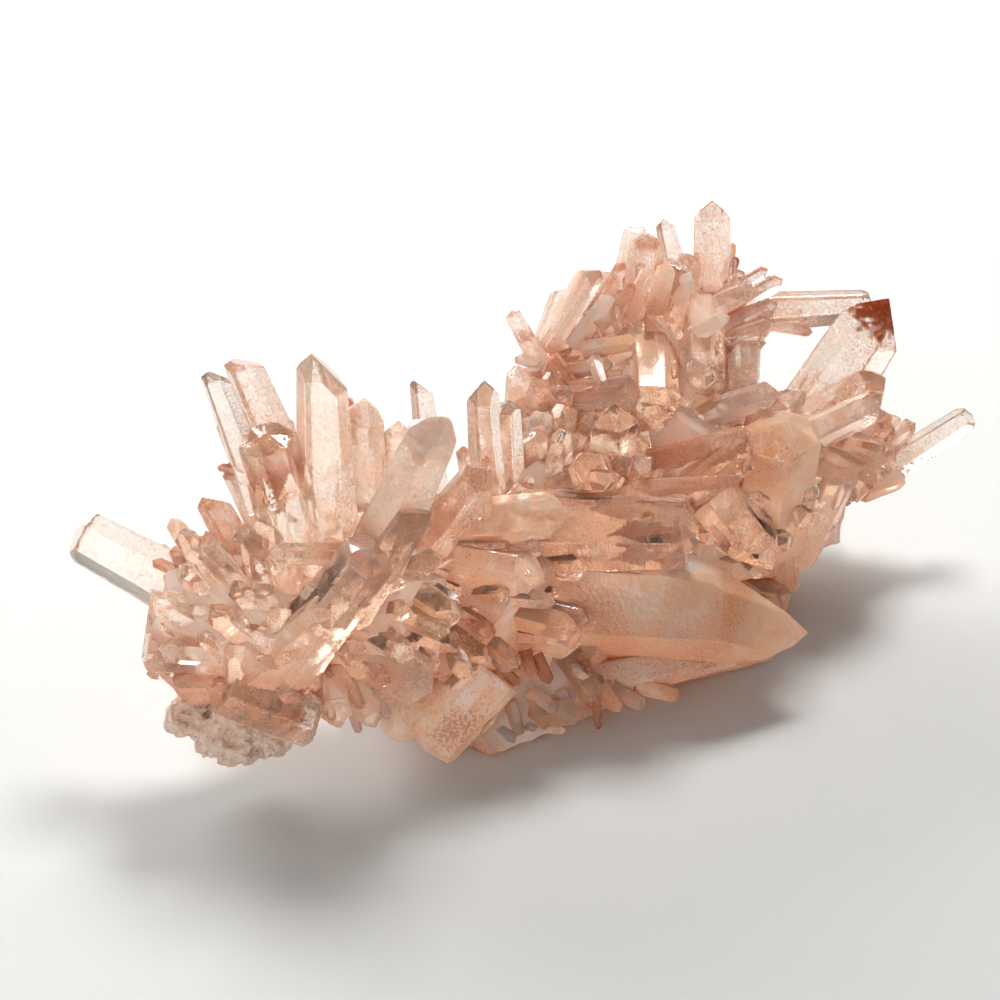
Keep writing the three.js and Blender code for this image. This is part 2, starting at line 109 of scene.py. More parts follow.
# Crystals that show in front: tip and root, each as millimetres across and up as seen from the
# viewpoint and away along Y; then width, turn, length of the point, lean of the tip, and look
frontCrystals = [
    # raised arm, upright crystals
    ((-37.8, 29.4, -44), (-34, -9, -42), 11, 22, 1, -0.35, "clear"),
    ((-54.4, 27.8, -36), (-41.6, 4.4, -38), 8.6, 12, 0.5, -0.5, "amber"),
    ((-59.2, 25.4, -44), (-47.6, -1, -44), 6.6, 10, 0.7, -0.4, "clear"),
    ((-47, 13.4, -49), (-40, -12, -46), 12, 34, 0.3, 0, "clear"),
    ((-53.8, 8.4, -42), (-45, -9, -44), 6, 20, 1, 0, "peach"),
    ((-27.2, 20.6, -36), (-26.8, -6, -38), 9, 12, 1, 0, "peach"),
    ((-20.4, 16, -36), (-20, 1, -38), 6.2, 30, 1, 0, "peach"),
    ((-17.4, 24, -30), (-12, -10, -34), 6.4, 20, 0.8, -0.4, "clear"),
    ((-11.4, 16.8, -58), (-26, -14, -50), 10.8, 5, 1, 0.1, "smoky"),
    ((-14.6, -2.6, -64), (-34, -29, -52), 8.8, 20, 0.8, 0.3, "smoky"),
    ((-25.4, -10, -65), (-43, -33, -57), 11.6, 32, 0.3, 0, "smoky"),
    ((-2.8, 6, -44), (-14, -8, -40), 8.4, 12, 0.6, 0, "peach"),
    ((-10.4, -15, -42), (-14.4, -5, -36), 6, 15, 0.6, 0, "peach"),
    ((-3.2, 24, -16), (-1, -10, -16), 8, 30, 1.1, 0.1, "clear"),
    ((1.4, 19.4, -14), (2, -6, -14), 6.8, 25, 0.4, 0, "clear"),
    ((-7.6, 10.8, -34), (-4.4, -5, -34), 3.8, 10, 1, 0, "peach"),
    ((-49, -4, -52), (-42, -15, -50), 8, 18, 1, 0, "peach"),
    ((-52, -5.2, -54), (-45, -18, -52), 5.2, 5, 1, 0, "peach"),
    ((-46.4, -10.4, -66), (-31, -11, -58), 4.4, 25, 1, 0, "peach"),
    # end of the raised arm
    ((-85.2, -6.4, -38), (-63, -18.4, -46), 10, 25, 0.4, 0, "glass"),
    ((-65.8, -3.6, -50), (-57.6, -16, -50), 4.2, 10, 1, 0, "peach"),
    ((-59.6, 0.6, -46), (-51, -13, -48), 6, 25, 0.8, -0.3, "stained"),
    ((-64, -6, -54), (-55.6, -18.4, -52), 5.2, 8, 1, 0, "peach"),
    ((-67.4, -15, -56), (-59, -20, -54), 3.2, 25, 1, 0, "peach"),
    ((-68, -34.2, -50), (-65, -19, -50), 7.6, 28, 0.4, 0, "clear"),
    ((-36.4, -45.6, -60), (-55, -37, -62), 10, 12, 0.3, 0.1, "clear"),
    ((-32.6, -45.6, -58), (-34, -33, -52), 8, 20, 1, 0, "peach"),
    ((-39, -39.6, -58), (-40, -28, -56), 7, 10, 1, 0, "peach"),
    ((-33, -20, -66), (-50, -36, -60), 8, 10, 1, 0, "peach"),
    ((-67, -18, -60), (-57, -28, -58), 5.2, 0, 1, 0, "peach"),
    ((-66.4, -28, -62), (-57, -32, -60), 4.8, 15, 1, 0, "peach"),
    ((-62, -10, -58), (-54, -22, -54), 5.6, 22, 1, 0, "peach"),
    ((-58, -22, -66), (-50, -28, -60), 6, 12, 1, 0, "peach"),
    ((-52, -28, -64), (-46, -28, -62), 7, 5, 1, 0, "peach"),
    # under the arm
    ((-12.4, -32.4, -54), (-25, -20, -44), 8.4, 10, 1, 0, "peach"),
    ((-13.4, -38.4, -60), (-31, -28, -50), 9.6, 20, 0.6, 0.2, "peach"),
    ((-9.6, -31, -50), (-19, -17.6, -42), 6.4, 25, 1, 0, "peach"),
    ((-24.8, -45.6, -52), (-29.6, -36, -48), 5.2, 15, 1, 0, "peach"),
    ((-20.8, -48.4, -48), (-16, -30, -38), 7.6, 20, 0.5, 0, "peach"),
    ((-15.4, -50, -52), (-3, -33, -44), 14, 15, 0.3, -0.2, "milky"),
    # long crystals that lie along the front
    ((49, -28.8, -22), (8, -39, -34), 9.6, 18, 0.7, 0, "milky"),
    ((61.8, -26.6, -26), (9, -20, -24), 20.8, 33, 1.6, 0.25, "smooth"),
    ((-4, -23.6, -46), (-19, -16.4, -38), 3.8, 10, 1, 0, "peach"),
    ((16.6, -28.4, -38), (-6, -20, -36), 10, 20, 0.6, 0, "peach"),
    ((9.2, -15.4, -42), (-12, -12.4, -38), 8.6, 8, 1, 0, "peach"),
    ((40.2, -7.6, -26), (2, -7, -24), 15.6, 5, 0.5, 0, "clear"),
    ((48.4, 4, -14), (18, 1.6, -14), 4.2, 10, 1, 0, "peach"),
    ((14, -2.4, -32), (-15, -6, -32), 9.2, 25, 1, 0, "peach"),
    ((38, -1.6, -20), (4, -1, -22), 5.6, 20, 1, 0, "peach"),
    ((14.6, -33.6, -41), (22, -38, -30), 3.6, 15, 1, 0, "peach"),
    ((19.6, -40.4, -40), (13.6, -31, -34), 5.2, 15, 0.7, 0, "clear"),
    ((16, -42.4, -44), (1, -43, -38), 5.4, 10, 0.6, 0, "peach"),
    # right shoulder
    ((57.6, 16, -4), (52, -8, 2), 15.2, 18, 0.5, 0.1, "smooth"),
    ((54.6, -14, -16), (43, 0.6, -8), 10, 20, 1.2, 0, "clear"),
    ((58, -14, 4), (68.4, 8.4, 8), 10, 10, 0.6, 0, "peach"),
    ((56.8, -18.6, 0), (56, -11, 2), 6.8, 25, 0.3, 0, "peach"),
    ((50.2, 13.6, -6), (30, 7.6, -4), 4.4, 20, 1, 0, "peach"),
    ((50.4, 11, -8), (38, 2, -6), 8, 10, 0.5, 0, "peach"),
    ((30.6, 13.8, -2), (29.6, 30, 20), 11, 25, 1.2, 0, "peach"),
    ((40, 21.8, 8), (39.4, 39, 27), 7.6, 28, 0.7, 0, "peach"),
    ((43.6, 21.6, 10), (43.2, 35, 25), 4, 10, 1, 0, "peach"),
    ((48.6, 19, 8), (48.6, 32.4, 25), 6.4, 15, 1, 0, "peach"),
    ((55.6, 21.8, 4), (38, 16, 12), 5.6, 20, 0.8, 0, "peach"),
    # right arm
    ((94.6, 17, 36), (76, 5, 28), 6.6, 15, 0.6, 0, "clear"),
    ((83.2, 15.4, 30), (72.4, 8.4, 26), 4.8, 10, 1, 0, "clear"),
    ((77.2, 24.4, 22), (60, 15, 20), 9.2, 8, 0.7, 0.1, "smoky"),
    ((77.8, 40.4, 30), (60.8, 14, 28), 13.4, 25, 1.1, 0, "black"),
    ((74.8, 38.8, 36), (51, 37.4, 34), 7.4, 20, 0.6, 0, "amber"),
    ((79.4, 6.4, 14), (69, 10, 18), 8.4, 20, 0.5, 0, "peach"),
    ((76.4, 19.6, 16), (61.6, 12.8, 14), 6.8, 20, 1, 0, "peach"),
    ((78.6, 17, 26), (70, 12, 24), 8, 10, 1, 0, "peach"),
    ((72.4, 0, 20), (70, 6, 18), 5.2, 10, 1, 0, "peach"),
    ((81, 5, 26), (72, 2, 20), 5.2, 20, 1, 0, "peach"),
    # tower at the back
    ((42.4, 60, 36), (42.8, 40, 34), 7.6, 20, 0.9, 0, "amber"),
    ((32.6, 56.2, 30), (36.4, 40, 30), 4.4, 15, 0.9, 0, "clear"),
    ((28, 55.2, 34), (24, 38, 30), 5.2, 25, 0.6, 0.3, "peach"),
    ((29.6, 52.8, 26), (28, 37, 26), 7.6, 30, 0.4, 0, "amber"),
    ((22, 45.6, 22), (12, 30, 22), 8.8, 15, 0.6, 0.3, "peach"),
    ((13.2, 42.2, 28), (8.4, 30, 26), 4.8, 20, 0.7, 0.3, "amber"),
    ((2.2, 37.8, 24), (9, 25.6, 22), 4, 25, 0.4, 0, "amber"),
    ((8.6, 25.4, 10), (27, 29.6, 18), 7.6, 20, 0.5, 0, "peach"),
    ((19, 40, 12), (24, 30, 16), 7.6, 15, 0.6, 0, "peach"),
    ((53.6, 46.2, 30), (40, 37.6, 30), 3.8, 10, 1, 0, "peach"),
    ((56.6, 44.2, 28), (42.4, 36.4, 28), 4.2, 20, 1, 0, "peach"),
    ((55.6, 39.4, 24), (42.4, 33, 26), 4.6, 5, 1, 0, "peach"),
    ((54.6, 35, 20), (43, 31, 24), 4.6, 15, 1, 0, "peach"),
    ((49, 45.6, 34), (39, 39, 32), 3.4, 15, 1, 0, "peach"),
    ((33.6, 47.6, 22), (35.6, 34, 24), 7.2, 20, 0.6, 0, "peach"),
    # saddle between the arm and the tower
    ((22.8, 19.4, -4), (21, 2, -4), 10.8, 20, 0.5, 0, "peach"),
    ((18, 18.2, -3), (16, 7, -2), 5.2, 5, 0.6, 0, "peach"),
    ((18, 5.6, -24), (20, 5, -2), 9.2, 0, 0.5, 0, "clear"),
    ((12, 20.4, 2), (10, 9, 4), 3.4, 5, 1, 0, "peach"),
    ((28, 21.6, -2), (15, 20, 2), 7.2, 15, 0.5, 0, "peach"),
]

# Thin crystals, finer than the solid has, given in the same way
thinCrystals = [
    ((-56.6, 6.6, -44), (-51, 6, -44), 1.9, 0, 1, 0, "peach"),
    ((-55.6, 4.8, -45), (-50, 4.6, -44), 1.6, 0, 1, 0, "peach"),
    ((-30.6, 20.8, -30), (-28.4, 12, -32), 2.6, 0, 1, 0, "stained"),
    ((-2.6, 9, -30), (-4, -5, -32), 3, 10, 1, 0, "peach"),
    ((-69.6, -12, -52), (-61, -16, -52), 2.6, 10, 1, 0, "peach"),
    ((-4.4, -32.8, -52), (-11, -38.4, -50), 3, 10, 1, 0, "peach"),
    ((3.6, -48.4, -46), (-1, -45.6, -44), 2.6, 10, 1, 0, "peach"),
    ((19.6, -46, -40), (19.2, -39, -37), 2, 0, 1, 0, "clear"),
    ((2.8, 28.4, 22), (8, 27, 20), 2.6, 0, 1, 0, "peach"),
    ((4, 25, 20), (9, 25.6, 18), 2.8, 10, 1, 0, "peach"),
    ((28, 43.4, 16), (20, 34, 20), 3, 10, 1, 0, "peach"),
    ((25, 42, 18), (17, 32, 20), 3, 20, 1, 0, "peach"),
    ((13.2, 5.2, -17), (9.6, 2.4, -15), 2.4, 0, 1, 0, "peach"),
    ((8.6, 19.6, -2), (8.4, 10, 2), 2.8, 10, 1, 0, "peach"),
    ((5.4, 17.4, -2), (7.6, 9, 0), 2.8, 20, 1, 0, "peach"),
    # ribs and points under the long crystals
    ((12, -42.6, -44), (6, -38, -42), 2.8, 10, 1, 0, "stained"),
    ((9, -46, -44), (6.4, -38, -42), 2.6, 5, 1, 0, "peach"),
    ((4, -47.4, -45), (2, -40, -44), 2.4, 15, 1, 0, "stained"),
    ((15, -45, -42), (12, -38, -40), 2.6, 10, 1, 0, "peach"),
    ((24, -42.4, -38), (20, -37, -36), 3, 20, 1, 0, "milky"),
    ((29, -41.4, -36), (22, -37.4, -35), 3.2, 5, 0.8, 0, "peach"),
    ((36, -39.4, -32), (27, -37, -32), 3.4, 15, 0.8, 0, "milky"),
    ((19, -35.4, -41), (16.4, -31, -36), 1.8, 10, 1, 0, "clear"),
    ((21.6, -35.2, -40), (19, -31, -36), 1.8, 20, 1, 0, "clear"),
    ((24.4, -35, -39), (21.8, -31, -35), 1.8, 5, 1, 0, "peach"),
    ((27, -34.6, -38), (24.4, -31, -34), 1.8, 15, 1, 0, "clear"),
    ((30, -34.4, -36), (27.4, -31, -33), 2, 10, 1, 0, "peach"),
    ((10, -37, -44), (7, -31, -41), 2.6, 15, 1, 0, "stained"),
    ((6.4, -36, -46), (5, -30, -43), 2.4, 10, 1, 0, "stained"),
    # shards that lean over the tower
    ((25, 47.6, 15), (18, 34, 14), 3.4, 10, 1, 0.2, "peach"),
    ((26.8, 43.4, 12), (20.6, 32.4, 13), 3, 20, 1, 0, "clear"),
    ((22.4, 40.8, 10), (15, 31, 12), 3.6, 5, 0.8, 0.2, "milky"),
    ((20, 46, 14), (12, 33, 14), 4.4, 25, 0.7, 0.3, "smoky"),
    ((17.6, 42, 12), (10.4, 30, 13), 3.2, 15, 1, 0, "milky"),
    ((30.4, 46.4, 15), (25.6, 36.4, 16), 3.6, 10, 0.8, 0.2, "peach"),
    ((33.6, 47.6, 17), (31, 38, 18), 4, 20, 0.8, 0, "milky"),
    ((38, 45.6, 20), (34.4, 36, 20), 3.8, 5, 1, 0, "milky"),
    ((29.6, 40, 12), (28, 31, 13), 3.2, 15, 1, 0, "stained"),
    ((33.6, 25.6, 6), (32.4, 36.4, 14), 3.4, 10, 0.8, 0, "peach"),
    ((22.4, 27.4, 4), (13, 25.6, 8), 3.6, 15, 0.6, 0, "milky"),
    ((27, 31.6, 5), (17, 30, 9), 4, 5, 0.6, 0, "milky"),
    ((15, 22, 2), (10.4, 28.4, 8), 3.2, 20, 1, 0, "peach"),
    ((36.4, 30, 8), (35.6, 37, 16), 3, 5, 1, 0, "clear"),
    ((45.6, 37, 14), (39, 33, 18), 3.4, 15, 1, 0, "milky"),
    ((21, 21.6, -2), (19, 28, 6), 3, 10, 1, 0, "peach"),
]

# Large crystals on the hidden side: tip and root in X, Y, Z, and width
backCrystals = [
    ((-30, -6, 30), (-9, -32, 25), 12),
    ((-24, 2, 12), (-5, -28, 20), 10),
    ((-8, 24, 22), (14, -7, 24), 14),
    ((0, 27, 7), (14, -5, 20), 11),
    ((20, 40, 8), (40, 8, 20), 12),
    ((8, 44, 34), (27, 22, 36), 11),
    ((24, 48, 49), (37, 29, 48), 8),
    ((34, 50, 24), (40, 18, 28), 10),
    ((-46, -16, 38), (-30, -44, 32), 10),
    ((-40, -14, 22), (-30, -44, 28), 8),
    ((58, 46, 14), (58, 19, 20), 10),
]

# The root mass: middle and half size of each lump
rootLumps = [
    ((-50, -52, 33), (15, 12, 13)),
    ((-30, -44, 32), (17, 13, 14)),
    ((-9, -32, 25), (19, 16, 16)),
    ((14, -7, 24), (22, 18, 19)),
    ((40, 8, 23), (22, 18, 17)),
    ((58, 19, 20), (14, 13, 12)),
    ((50, 14, 30), (12, 12, 11)),
    ((72, 27, 23), (9, 8, 7)),
    ((12, 5, 41), (13, 12, 8)),
    ((27, 22, 40), (18, 13, 15)),
    ((37, 29, 54), (11, 8, 9)),
    ((-2, -22, 7), (28, 20, 13)),
    ((28, -6, 8), (26, 22, 14)),
    ((41, 8, 8), (18, 14, 12)),
]

# The grey crust under the raised arm
crustBlocks = [
    ((-59, -55, 14.4), (4.5, 4, 4.5)),
    ((-54, -56, 11), (5, 4.5, 5)),
    ((-49, -56, 8.6), (4.5, 4.5, 4)),
    ((-43.5, -55, 9.4), (4.5, 4.5, 4)),
    ((-49, -53, 15), (8, 7, 7)),
]


class Seeded:
    # Repeatable random numbers from 0 to 1, drawn as in the solid
    def __init__(self, seed):
        self.state = seed

    def __call__(self):
        mask = 0xFFFFFFFF
        self.state = (self.state + 0x6D2B79F5) & mask
        mixed = ((self.state ^ (self.state >> 15)) * (1 | self.state)) & mask
        inner = (mixed + (((mixed ^ (mixed >> 7)) * (61 | mixed)) & mask)) & mask
        mixed = inner ^ mixed
        return ((mixed ^ (mixed >> 14)) & mask) / 4294967296

    def spread(self, low, high):
        return low + (high - low) * self()

    def jog(self, size):
        return np.array([self() - 0.5, self() - 0.5, self() - 0.5]) * size


def unit(vector):
    return vector / np.linalg.norm(vector)


def seen(place):
    # The point seen at these millimetres across and up, where the sight line meets Y = away
    across, up, away = place
    sight = forward * view["distance"] + np.array([across, 0, 0]) + screenUp * up
    return viewer + sight * ((away - view["faceMiddle"][1] - viewer[1]) / sight[1])


def moved(place):
    # A point of the tables in X, Y and Z, measured from the middle of the flat face instead
    return np.array(place, float) - np.array([*view["faceMiddle"], 0])


def cornersOf(planes):
    # The corners of the convex space behind all planes, and which planes meet at each
    normals = np.array([normal for normal, reach in planes])
    reaches = np.array([reach for normal, reach in planes])
    triples = np.array(list(itertools.combinations(range(len(planes)), 3)))
    matrices = normals[triples]
    solid = np.abs(np.linalg.det(matrices)) > touching
    triples, matrices = triples[solid], matrices[solid]
    points = np.linalg.solve(matrices, reaches[triples][..., None])[..., 0]
    inside = (points @ normals.T <= reaches + touching).all(axis=1)
    return points[inside], triples[inside]


def chamfered(planes, depth):
    # Adds a narrow face along each edge, cut this far below the edge
    points, triples = cornersOf(planes)
    extra = []
    for pair in itertools.combinations(range(len(planes)), 2):
        shared = points[np.isin(triples, pair).sum(axis=1) == 2]
        normal = planes[pair[0]][0] + planes[pair[1]][0]
        if len(shared) < 2 or np.ptp(shared, axis=0).max() < depth or normal @ normal < sharpest:
            continue
        normal = unit(normal)
        extra.append((normal, (shared @ normal).min() - depth))
    return planes + extra


def crystalPlanes(tip, root, width, shape, side, random):
    # A six-sided prism that narrows towards its point, with uneven faces
    turn, point, lean = shape
    half = width / 2
    axis = unit(tip - side * lean * half - root)
    right = unit(side - axis * (side @ axis))
    away = np.cross(axis, right)
    planes = []
    for face in range(6):
        angle = math.radians(turn + 60 * face + habit["turnSpread"] * (random() - 0.5))
        outward = right * math.cos(angle) + away * math.sin(angle)
        radius = half * (habit["radius"] + habit["uneven"] * (random() - 0.5) * 2)
        normal = unit(outward + axis * habit["taper"])
        planes.append((normal, normal @ (root + outward * radius * habit["rootSwell"])))
        if face % 2 and width < habit["plainBelow"]:
            continue
        normal = unit(outward * habit["pointSlope"] * point + axis)
        lift = habit["minorFace"] * random() * half * point if face % 2 else 0
        planes.append((normal, normal @ (tip + axis * lift)))
    planes.append((-axis, -axis @ root))
    return planes, axis


def spreadDirection(index, count, random):
    # Directions spread evenly over a sphere in a spiral, each moved a little
    height = 1 - (2 * (index + 0.5)) / count + 0.1 * (random() - 0.5)
    angle = index * math.pi * (3 - math.sqrt(5)) + 0.5 * (random() - 0.5)
    flat = math.sqrt(max(0, 1 - height * height))
    return unit(np.array([flat * math.cos(angle), flat * math.sin(angle), height]))


# Looks: how clear, how much iron stain, and how dark the point is
looks = {
    "glass": (0.8, 0.0, 0.0),
    "clear": (0.75, 0.2, 0.0),
    "peach": (0.45, 0.35, 0.0),
    "smooth": (0.34, 0.2, 0.0),
    "amber": (0.6, 0.8, 0.0),
    "smoky": (0.55, 0.25, 0.35),
    "milky": (0.12, 0.05, 0.0),
    "stained": (0.4, 1.0, 0.1),
    "black": (0.9, 0.3, 1.0),
    "druse": (0.45, 0.4, 0.0),
    "mass": (0.1, 0.5, 0.0),
}

# How much the clarity differs between crystals of one look
clarityUneven = 0.2

# Broken quartz isn't part of a crystal: with this its share along one stays near nothing
massGrowth = np.array([0, 0, 0.01])


def lookValues(look, root, growth, random):
    # Values that the material reads from each face: growth is 1 / length along the crystal
    clarity, stain, dark = looks[look]
    return {
        "crystalRoot": root * millimetre,
        "growth": growth / millimetre,
        "clarity": clarity + clarityUneven * (random() - 0.5),
        "stain": stain,
        "dark": dark,
        "variety": random(),
    }


def writeValues(body, values):
    for name, value in values.items():
        layers = body.faces.layers.float if np.isscalar(value) else body.faces.layers.float_vector
        layer = layers.get(name) or layers.new(name)
        for face in body.faces:
            face[layer] = value if np.isscalar(value) else Vector(value)


def hullBody(points, merged):
    # The convex body around these points, with points nearer than this merged
    body = bmesh.new()
    for point in points:
        body.verts.new(Vector(point) * millimetre)
    bmesh.ops.remove_doubles(body, verts=body.verts, dist=merged * millimetre)
    bmesh.ops.convex_hull(body, input=body.verts, use_existing_faces=False)
    return body


class Heap:
    # Closed bodies, each an object of its own, until they are joined in one solid
    def __init__(self, name):
        self.name = name
        self.members = bpy.data.collections.new(name)
        self.count = 0

    def add(self, points, values):
        body = hullBody(points, 0.01)
        loose = [vertex for vertex in body.verts if not vertex.link_faces]
        bmesh.ops.delete(body, geom=loose, context="VERTS")
        writeValues(body, values)
        self.addBody(body)

    def addBody(self, body):
        mesh = bpy.data.meshes.new(self.name)
        body.to_mesh(mesh)
        body.free()
        self.members.objects.link(bpy.data.objects.new(self.name, mesh))
        self.count += 1

    def joined(self):
        # One watertight mesh of all the bodies, cut off flat below the rest plane
        below = bmesh.new()
        bmesh.ops.create_cube(below, size=0.6, matrix=Matrix.Translation((0, 0, -0.3)))
        writeValues(below, lookValues("mass", np.zeros(3), massGrowth, Seeded(seeds["restLook"])))
        mesh = bpy.data.meshes.new(self.name)
        below.to_mesh(mesh)
        below.free()
        cutter = bpy.data.objects.new(self.name, mesh)
        first = self.members.objects[0]
        self.members.objects.unlink(first)
        bpy.context.scene.collection.objects.link(first)
        join = first.modifiers.new("join", "BOOLEAN")
        join.operation, join.solver = "UNION", "MANIFOLD"
        join.operand_type, join.collection = "COLLECTION", self.members
        cut = first.modifiers.new("cut", "BOOLEAN")
        cut.operation, cut.solver, cut.object = "DIFFERENCE", "MANIFOLD", cutter
        graph = bpy.context.evaluated_depsgraph_get()
        whole = bpy.data.meshes.new_from_object(first.evaluated_get(graph))
        bpy.data.batch_remove([first, cutter, *self.members.objects])
        bpy.data.collections.remove(self.members)
        return largestPart(whole)


def largestPart(mesh):
    # Drops the crumbs and the closed hollows that joining leaves
    body = bmesh.new()
    body.from_mesh(mesh)
    left, parts = set(body.verts), []
    while left:
        part, front = set(), [next(iter(left))]
        while front:
            vertex = front.pop()
            if vertex in part:
                continue
            part.add(vertex)
            front += [edge.other_vert(vertex) for edge in vertex.link_edges]
        left -= part
        parts.append(part)
    parts.sort(key=len)
    crumbs = [vertex for part in parts[:-1] for vertex in part]
    bmesh.ops.delete(body, geom=crumbs, context="VERTS")
    body.to_mesh(mesh)
    body.free()
    return mesh


# Chamfers and clouds of large crystals, and the thinner ones alongside, as shares of the large ones
detail = {
    "chamfer": 0.09,
    "largeFrom": 8,
    "thickCloud": 0.018,
    "ribsFrom": 5.0,
    "ribsPerWidth": 10,
    "ribsMost": 1.6,
    "ribs": (4, 9),
    "ribWidth": (0.22, 0.5),
    "ribReach": (0.25, 0.95),
    "ribReachPower": 0.8,
    "ribFace": 0.45,
    "ribProud": 0.05,
    "ribEnds": (0.04, 0.97),
    "ribSpread": 1.05,
}


def addCrystal(heap, tip, root, width, shape, side, look, random, plain=False):
    planes, axis = crystalPlanes(tip, root, width, shape, side, random)
    length = (tip - root) @ axis
    if not plain:
        planes = chamfered(planes, detail["chamfer"] * min(1, width / detail["largeFrom"]))
    values = lookValues(look, root, axis / length, random)
    values["clarity"] -= detail["thickCloud"] * max(0, width - detail["largeFrom"])
    heap.add(cornersOf(planes)[0], values)


def addRibs(heap, tip, root, width, look, random):
    # Thinner crystals in parallel growth, sunk in the sides of a large one
    axis = unit(tip - root)
    length = (tip - root) @ axis
    right = unit(np.cross(axis, [0.3, 0.5, 0.81]))
    away = np.cross(axis, right)
    count = int(random.spread(*detail["ribs"]) * min(detail["ribsMost"], width / detail["ribsPerWidth"]))
    start, end = detail["ribEnds"]
    for index in range(count):
        angle = 2 * math.pi * (index + 0.8 * random()) / count
        outward = right * math.cos(angle) + away * math.sin(angle)
        share = random.spread(*detail["ribReach"]) ** detail["ribReachPower"]
        ribWidth = width * random.spread(*detail["ribWidth"])
        narrowed = width * detail["ribFace"] - habit["taper"] * share * length
        offset = max(0, narrowed + width * detail["ribProud"] - ribWidth * 0.5)
        ribTip = root + axis * length * share * end + outward * offset
        ribRoot = root + axis * length * start + outward * offset * detail["ribSpread"]
        shape = (60 * random(), 0.7 + 0.6 * random(), 0.4 * (random() - 0.5))
        addCrystal(heap, ribTip, ribRoot, ribWidth, shape, right, look, random)


def addFrontCrystals(heap, rows, seed):
    random, ribRandom = Seeded(seed), Seeded(seed + seeds["toRibs"])
    for tip, root, width, *shape, look in rows:
        tip, root = seen(tip), seen(root)
        side = unit(np.cross(forward, tip - root))
        addCrystal(heap, tip, root, width, shape, side, look, random)
        if width >= detail["ribsFrom"] and look not in ("glass", "smooth"):
            addRibs(heap, tip, root, width, look, ribRandom)


def addBackCrystals(heap):
    random, ribRandom = Seeded(seeds["back"]), Seeded(seeds["backRibs"])
    for tip, root, width in backCrystals:
        tip, root = moved(tip), moved(root)
        side = unit(np.cross([0, 0, 1], tip - root))
        shape = (60 * random(), 0.8, 0)
        addCrystal(heap, tip, root, width, shape, side, "peach", random)
        addRibs(heap, tip, root, width, "peach", ribRandom)


# Crystals that fill the gaps of the mass: how many on each lump, and their sizes
fill = {
    "count": 6,
    "from": 0.12,
    "length": (6, 17),
    "lengthPower": 1.5,
    "hiddenGain": 3,
    "width": (7, 15),
    "jog": 0.9,
    "rootDepth": 0.45,
}


def addFillCrystals(heap):
    random, ribRandom = Seeded(seeds["fill"]), Seeded(seeds["fillRibs"])
    for middle, halfSizes in rootLumps:
        middle, halfSizes = moved(middle), np.array(halfSizes)
        for index in range(fill["count"]):
            outward = spreadDirection(index, fill["count"], random)
            hidden = outward @ forward
            if hidden < fill["from"]:
                continue
            surface = outward * halfSizes
            shortest, longest = fill["length"]
            length = shortest + (longest - shortest) * random() ** fill["lengthPower"]
            length *= min(1, fill["hiddenGain"] * hidden ** 2)
            direction = unit(outward + random.jog(fill["jog"]))
            tip = middle + surface + direction * length
            root = middle + surface * fill["rootDepth"]
            width = random.spread(*fill["width"])
            side = unit(np.cross(tip - root, spreadDirection(3, 7, random)))
            shape = (60 * random(), 0.5 + 0.5 * random(), 0)
            addCrystal(heap, tip, root, width, shape, side, "peach", random)
            addRibs(heap, tip, root, width, "peach", ribRandom)


# Broken quartz between the crystals: faces of a lump, how far out they are and how rough
mass = {
    "faces": 12,
    "reach": 0.86,
    "reachSpread": 0.2,
    "cuts": 3,
    "rough": 0.5,
    "grain": 0.35,
    "fine": 2.7,
    "fineShare": 0.5,
    "sunk": 0.4,
}


def blockPoints(middle, halfSizes, random):
    planes = []
    for face in range(mass["faces"]):
        normal = spreadDirection(face, mass["faces"], random)
        reach = np.linalg.norm(normal * halfSizes) * (mass["reach"] + mass["reachSpread"] * random())
        planes.append((normal, normal @ (middle + normal * reach)))
    return cornersOf(planes)[0]


def roughBody(points, values):
    # A block cut fine and worn by noise
    body = hullBody(points, 0.05)
    for turn in range(mass["cuts"]):
        bmesh.ops.subdivide_edges(body, edges=body.edges, cuts=1, use_grid_fill=True)
    bmesh.ops.triangulate(body, faces=body.faces)
    body.normal_update()
    moves = []
    for vertex in body.verts:
        place = Vector(vertex.co) / millimetre * mass["grain"]
        wave = noise.noise(place) + mass["fineShare"] * noise.noise(place * mass["fine"])
        moves.append(vertex.normal * (wave - mass["sunk"]) * mass["rough"] * millimetre)
    for vertex, move in zip(body.verts, moves):
        vertex.co += move
    writeValues(body, values)
    return body


def addMass(heap):
    random = Seeded(seeds["mass"])
    for middle, halfSizes in rootLumps:
        points = blockPoints(moved(middle), np.array(halfSizes), random)
        values = lookValues("mass", moved(middle), massGrowth, Seeded(seeds["massLook"]))
        heap.addBody(roughBody(points, values))


# Small crystals on the mass and around the feet of the large ones
druse = {
    "perArea": 0.16,
    "lowest": 10,
    "ends": (-83, 74),
    "edge": ((58, -15), (81, 6)),
    "lumpWidth": (1.8, 6.0),
    "lumpLength": (4.0, 12.0),
    "perFoot": 4,
    "footWidth": (1.0, 2.8),
    "footLength": (3, 9),
    "stretch": 1.3,
    "inset": 1.5,
    "buried": 0.93,
    "plainBelow": 2,
    "flowAhead": 6,
    "flowNear": 3,
    "footDepth": 0.92,
}


def flowAt(point, rootsOfAll, axesOfAll):
    # The direction in which the large crystals nearest to a point grow
    gaps = np.linalg.norm(rootsOfAll + axesOfAll * druse["flowAhead"] - point, axis=1)
    return unit((axesOfAll / (gaps[:, None] + druse["flowNear"]) ** 3).sum(axis=0))


def insideLump(point):
    shares = [np.linalg.norm((point - moved(middle)) / halfSizes) for middle, halfSizes in rootLumps]
    return min(shares) < druse["buried"]


def pastEdge(point):
    # Whether a point is seen past the cluster's lower right edge
    across, up = point[0] - target[0], (point - target) @ screenUp
    (startAcross, startUp), (endAcross, endUp) = druse["edge"]
    slope = (endUp - startUp) / (endAcross - startAcross)
    return across > startAcross and up < startUp + slope * (across - startAcross)


